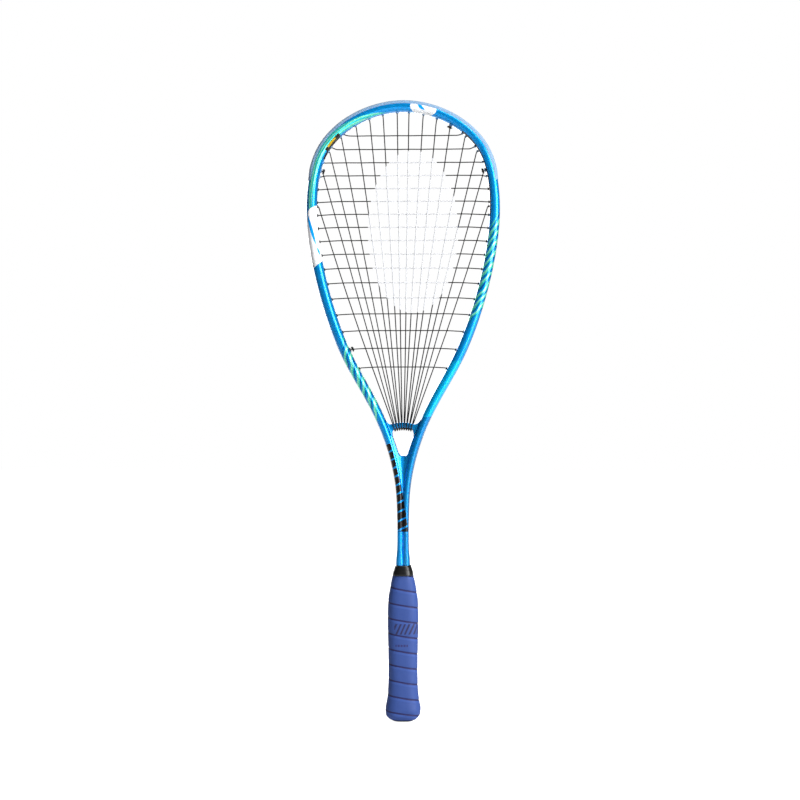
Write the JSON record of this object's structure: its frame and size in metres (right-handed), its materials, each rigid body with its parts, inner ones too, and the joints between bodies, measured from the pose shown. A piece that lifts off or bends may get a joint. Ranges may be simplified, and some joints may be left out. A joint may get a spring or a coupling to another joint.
{
  "type": "squash racket",
  "caption": "Strung squash racket with a teardrop hoop, open throat, slim shaft, wrapped handle and crown bumper.",
  "frame": {"origin": "centre of the butt's end face, where the upright racket rests", "axes": "+Z along the racket towards the crown, X across the face, Y through it; the front faces -Y"},
  "size_m": [0.2142, 0.036, 0.686],
  "materials": {
    "frame_paint": "glossy metallic blue paint with turquoise stripes, over carbon fibre",
    "clear_plastic": "translucent moulded nylon",
    "black_plastic": "moulded nylon, satin",
    "string_nylon": "coated multifilament string, part stencilled white",
    "pallet_foam": "moulded foam",
    "staple_steel": "bright wire",
    "grip_skin": "tacky perforated wrap with raised overlaps",
    "black_tape": "vinyl tape",
    "black_rubber": "glossy rubber"
  },
  "bodies": {
    "root": {"frame_tube": "frame_paint", "throat_bridge": "frame_paint", "bumper_guard": "clear_plastic", "grommet_strip_left": "black_plastic", "grommet_strip_right": "black_plastic", "bridge_saddle": "black_plastic", "main_string": "string_nylon", "cross_string": "string_nylon", "handle_pallet_front": "pallet_foam", "handle_pallet_back": "pallet_foam", "butt_cap": "black_plastic", "cap_staple_left": "staple_steel", "cap_staple_right": "staple_steel", "grip_tape": "grip_skin", "finishing_tape": "black_tape", "grip_collar": "black_rubber"}
  },
  "joints": []
}
